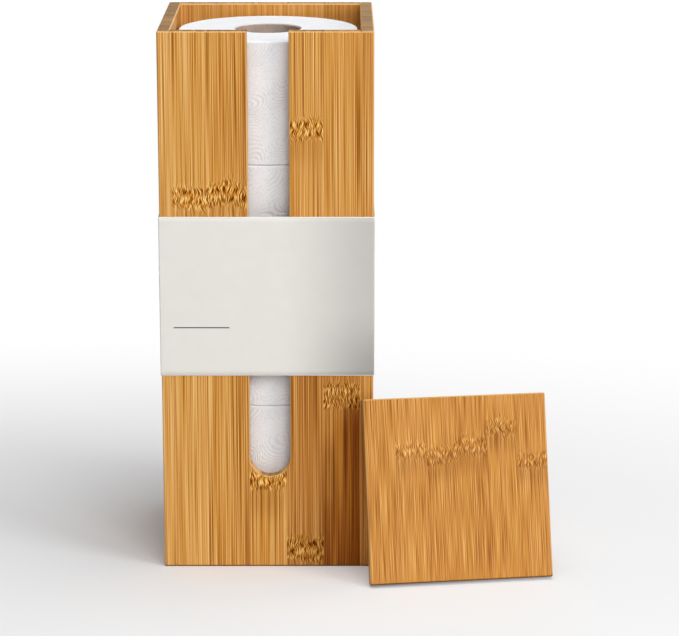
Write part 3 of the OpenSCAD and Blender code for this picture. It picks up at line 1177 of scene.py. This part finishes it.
@dataclass
class ToiletRoll:
    """One wound roll on its cardboard tube; the solids give its place and sizes.

    Attributes:
        number: which roll it is, from 1 at the bottom.
        ply: thickness of the outermost turn.
        tail_first: angle of the first roll's loose end, in degrees.
        tail_turn: angle added for each roll above.
        tail_step: distance round the roll over which the loose end falls to the turn below.
        tail_clear: distance before it that has no other column.
        tail_ragged: how far its edge strays.
        rim: radius of the soft edge between the wall and the ends.
        rim_steps: points on a quarter of that edge, with its ends.
        emboss_depth: depth of the embossed lines.
        emboss_pitch: distance between them.
        swirl_width: distance between two swirls round the roll.
        swirl_height: distance between two rows of them.
        dent_depth: depth of the wall's soft dents.
        turn_lift: how far single turns stand out of the ends.
        end_lift: how far the ends bulge.
        columns: steps round the roll.
        wall_rows: steps up the wall.
        top_rings: steps in across the upper end.
        bottom_rings: steps out across the lower end.
        tube_wall: thickness of the tube.
        tube_sunk: how far the tube ends below the paper.
        tube_columns: steps round the tube.
        tube_rows: steps up its inner wall.
        seam_pitch: height in which the tube's seam goes once round.
        seam_width: half the seam's width.
        seam_depth: its depth.
    """

    number: int
    ply: float = 0.6 * MM
    tail_first: float = 135.0
    tail_turn: float = 95.0
    tail_step: float = 0.04 * MM
    tail_clear: float = 0.7 * MM
    tail_ragged: float = 0.35 * MM
    rim: float = 1.2 * MM
    rim_steps: int = 5
    emboss_depth: float = 0.36 * MM
    emboss_pitch: float = 2.4 * MM
    swirl_width: float = 60 * MM
    swirl_height: float = 42 * MM
    dent_depth: float = 0.10 * MM
    turn_lift: float = 0.10 * MM
    end_lift: float = 0.18 * MM
    columns: int = 560
    wall_rows: int = 118
    top_rings: int = 13
    bottom_rings: int = 7
    tube_wall: float = 1.2 * MM
    tube_sunk: float = 0.4 * MM
    tube_columns: int = 192
    tube_rows: int = 62
    seam_pitch: float = 92 * MM
    seam_width: float = 0.7 * MM
    seam_depth: float = 0.22 * MM

    def emboss(self, along: np.ndarray, up: np.ndarray) -> np.ndarray:
        """The embossed pattern: slanted rings round the nearest point of a staggered lattice, gently bent.

        A ring's wave is half of one less the cosine of the distance in pitches, squared so that the valleys
        are narrower than the ridges, and it grows fainter and clearer over the sheet.

        Args:
            along: distance round the sheet.
            up: height.

        Returns:
            The depth of the pattern, from 0 on a ridge to 1 in a valley.
        """
        bent_along = along + 2.4 * MM * ripples(along, up, 29 * MM, 3)
        bent_up = up + 2.4 * MM * ripples(along, up, 33 * MM, 4)
        column, row = bent_along / self.swirl_width, bent_up / self.swirl_height
        nearest = np.full(column.shape, 1.0)
        for shift in (0.0, 0.5):
            aside = (column + shift - np.round(column + shift)) * self.swirl_width
            above = (row + shift - np.round(row + shift)) * self.swirl_height
            nearest = np.minimum(nearest, np.hypot(aside - 0.5 * above, above))
        wave = (0.5 - 0.5 * np.cos(math.tau * nearest / self.emboss_pitch)) ** 2
        faint = 0.55 + 0.45 * np.clip(ripples(along, up, 31 * MM, 8) + 0.3, -1, 1)
        return wave * faint

    def paper(self) -> Object:
        """The wound paper: one closed profile carried round the axis.

        The profile goes up the wall, over a quarter-round rim, in across the upper end, down the bore, out
        across the lower end and over the lower rim. The wall's radius grows by one ply in a turn, so it falls
        by a ply at the loose end, whose edge strays in waves of 9 mm. The emboss fades near the rims, ripples
        of 60 mm dent the wall, and the ends are lifted by ripples of 5.5 mm, turn by turn, and of 38 mm.

        Returns:
            The paper, with the emboss as an attribute.
        """
        low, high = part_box(f"roll_{self.number}_paper")
        core_low, core_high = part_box(f"roll_{self.number}_core")
        outer, bore = (high.x - low.x) / 2, (core_high.x - core_low.x) / 2
        bottom, top = low.z, high.z
        up = np.linspace(0, math.pi / 2, self.rim_steps)[1:-1]
        down = up[::-1]
        share, sink, height, on_wall = profile(
            (0.0, 0.0, np.linspace(bottom + self.rim, top - self.rim, self.wall_rows), 1.0),
            (0.0, 1 - np.cos(up), top - self.rim + self.rim * np.sin(up), np.cos(up) ** 2),
            (np.linspace(0.0, 1.0, self.top_rings), 1.0, top, 0.0),
            (np.linspace(1.0, 0.0, self.bottom_rings), 1.0, bottom, 0.0),
            (0.0, 1 - np.cos(down), bottom + self.rim - self.rim * np.sin(down), np.cos(down) ** 2))
        angle = np.append(np.linspace(0, math.tau - self.tail_clear / outer, self.columns - 1),
                          math.tau - self.tail_step / outer)
        ragged = self.tail_ragged / outer * ripples(height, 0.0 * height, 9 * MM, 20 + self.number)
        near_tail = np.exp(-np.minimum(angle, math.tau - angle) * outer / (2.5 * MM))
        along = (angle * outer)[None, :]
        fade = np.clip(np.minimum(height - bottom, top - height) / (3 * MM) - 0.2, 0, 1)
        pattern = self.emboss(along + 0.05 * self.number, height - bottom) * fade
        dents = np.clip(self.dent_depth * ripples(along, height, 60 * MM, 40 + self.number), 0, 1)
        wound = outer - self.ply * (1 - angle / math.tau)
        radius = wound - (pattern * self.emboss_depth + dents) * on_wall - sink * self.rim
        radius = radius + (bore - radius) * share
        inwards = np.where(height > (top + bottom) / 2, -1.0, 1.0) * ((share > 0.02) & (share < 0.98))
        turns = 0.5 + 0.5 * ripples(radius, radius * 0, 5.5 * MM, 60 + self.number)
        bulge = 0.5 + 0.5 * ripples(radius * np.cos(angle), radius * np.sin(angle), 38 * MM, 70 + self.number)
        lift = inwards * (self.turn_lift * np.clip(turns, 0, 1) + self.end_lift * np.clip(bulge, 0, 1))
        turned = angle + ragged * near_tail * on_wall
        turned = turned + math.radians(self.tail_first + (self.number - 1) * self.tail_turn)
        places = carried_round(radius, turned, height + lift)
        paper = surface(f"roll_{self.number}_wound_paper", places, closed=True)
        mark(paper, "emboss", pattern * on_wall)
        return paper

    def tube(self) -> Object:
        """The cardboard tube: a closed profile carried round the axis, with a shallow groove that climbs its
        inner wall where the board's edges meet.

        Returns:
            The tube, with the seam as an attribute.
        """
        low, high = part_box(f"roll_{self.number}_core")
        outer, inner = (high.x - low.x) / 2, (high.x - low.x) / 2 - self.tube_wall
        bottom, top = low.z + self.tube_sunk / 2, high.z - self.tube_sunk
        rim = self.tube_wall / 3
        radius, height = profile(
            (outer, np.linspace(bottom + rim, top - rim, 3)), (outer - rim, top), (inner + rim, top),
            (inner, np.linspace(top - rim, bottom + rim, self.tube_rows)), (inner + rim, bottom),
            (outer - rim, bottom))
        angle = np.linspace(0, math.tau, self.tube_columns + 1)[None, :-1]
        turns = (height - bottom) / self.seam_pitch - angle / math.tau + 0.31 * self.number
        off_seam = np.abs(turns - np.round(turns)) * math.tau * inner
        seam = np.exp(-(off_seam / self.seam_width) ** 2) * (radius < inner + rim / 2)
        uneven = 0.05 * MM * ripples(angle * inner, height, 21 * MM, 90) * (radius < outer)
        places = carried_round(radius + self.seam_depth * seam + uneven, angle, height)
        tube = surface(f"roll_{self.number}_tube", places, closed=True)
        mark(tube, "seam", seam)
        return tube

    def build(self) -> list[Object]:
        """The paper and its tube, in place of their plain solids.

        Returns:
            Their objects.
        """
        body = f"roll_{self.number}"
        paper, tube = self.paper(), self.tube()
        Tissue("soft_tissue", roughness=0.95, specular=0.15, bump=0.25, relief=0.08 * MM).put_on(paper)
        Cardboard("tube_board", roughness=0.9, specular=0.2, bump=0.4).put_on(tube)
        for piece, node, slot in ((paper, body + "_paper", "tissue"), (tube, body + "_core", "core_board")):
            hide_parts(node)
            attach(piece, body)
        return [paper, tube]


@dataclass
class PaperBand:
    """The band of card folded round the box, its outer end glued over its inner end at the back.

    Attributes:
        thickness: thickness of the card.
        lap: width of the overlap.
        lap_run: distance over which the outer end climbs onto the inner one.
        fold: radius of the folds, at the card's middle.
        slack: how far the flat spans stray from straight.
        inset: how far the card stays inside the solid's edges.
        span_steps: points along one side.
        fold_steps: points on a fold, with its ends.
        lap_steps: points along the last span.
        rows: steps up the band.
        rule_left: distance of the printed rule from the band's left edge.
        rule_length: the rule's length.
        rule_height: its height above the band's lower edge.
    """

    thickness: float = 0.42 * MM
    lap: float = 22 * MM
    lap_run: float = 8 * MM
    fold: float = 0.7 * MM
    slack: float = 0.05 * MM
    inset: float = 0.02 * MM
    span_steps: int = 48
    fold_steps: int = 9
    lap_steps: int = 36
    rows: int = 30
    rule_left: float = 9.8 * MM
    rule_length: float = 39.4 * MM
    rule_height: float = 35.1 * MM

    def route(self, half: float) -> tuple[np.ndarray, np.ndarray]:
        """The card's way round the box, seen from above.

        It starts under the overlap on the back, runs to the left side, the front and the right side, and ends
        on top of its start: straight spans joined by quarter circles.

        Args:
            half: half the width of the square that it follows.

        Returns:
            The points and their outward directions, one row each.
        """
        spans, turns = [], []
        straight = half - self.fold
        bend = np.linspace(0, math.pi / 2, self.fold_steps)[1:-1]
        corner = np.stack([-straight - self.fold * np.sin(bend), straight + self.fold * np.cos(bend)], axis=1)
        for side in range(4):
            outward = (side + 1) * math.pi / 2
            travel = np.linspace(straight if side else self.lap / 2, -straight, self.span_steps)
            spans += [np.stack([travel, np.full_like(travel, half)], axis=1) @ self.turned(side),
                      corner @ self.turned(side)]
            turns += [np.full_like(travel, outward), outward + bend]
        travel = np.linspace(straight, -self.lap / 2, self.lap_steps)
        spans.append(np.stack([travel, np.full_like(travel, half)], axis=1))
        turns.append(np.full_like(travel, math.pi / 2))
        facing = np.concatenate(turns)
        return np.concatenate(spans), np.stack([np.cos(facing), np.sin(facing)], axis=1)

    @staticmethod
    def turned(side: int) -> np.ndarray:
        """The matrix that turns rows of points by a quarter turn to the left for each side."""
        angle = side * math.pi / 2
        return np.array([[math.cos(angle), math.sin(angle)], [-math.sin(angle), math.cos(angle)]])

    def build(self) -> list[Object]:
        """The card as its middle surface, thickened, in place of the plain solid.

        Returns:
            The band, alone in a list.
        """
        low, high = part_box("paper_sleeve")
        half = high.x - 2 * self.inset - self.thickness / 2
        points, outward = self.route(half)
        length = np.concatenate([[0.0], np.cumsum(np.linalg.norm(np.diff(points, axis=0), axis=1))])
        over = np.clip((length - (length[-1] - self.lap - self.lap_run)) / self.lap_run, 0, 1)
        lifted = (over * over * (3 - 2 * over)) * (self.thickness + self.inset)
        height = np.linspace(low.z + self.inset, high.z - self.inset, self.rows)[:, None]
        wave = np.clip(ripples(length[None, :], height, 90 * MM, 12), -1, 1) * self.slack - self.slack
        plan = points + outward * (wave + lifted)[..., None]
        places = np.concatenate([plan, np.broadcast_to(height[..., None], plan.shape[:2] + (1,))], axis=-1)
        band = surface("folded_paper_band", places)
        solid = band.modifiers.new("card", "SOLIDIFY")
        solid.thickness, solid.offset, solid.use_even_offset = self.thickness, 0.0, True
        left = low.x + self.rule_left
        BandPaper("band_card", roughness=0.62, specular=0.3, bump=0.12, relief=0.05 * MM, rule_from=left,
                  rule_to=left + self.rule_length, rule_at=low.z + self.rule_height, low=low.z,
                  high=high.z, shade_from=0.05 * half, shade_to=1.1 * half).put_on(band)
        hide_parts("paper_sleeve")
        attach(band, "sleeve")
        return [band]


def main() -> None:
    """Builds the studio and the object's pieces in order, and logs each piece's faces."""
    logging.basicConfig(level=logging.INFO, format="%(name)s: %(message)s")
    Studio().build()
    groups = [BambooBox(), *(ToiletRoll(number) for number in range(1, 5)), PaperBand(), LeaningLid()]
    for group in groups:
        for piece in group.build():
            LOG.info("%s: %s, %d faces", type(group).__name__, piece.name, len(piece.data.polygons))


if __name__ == "__main__":
    main()
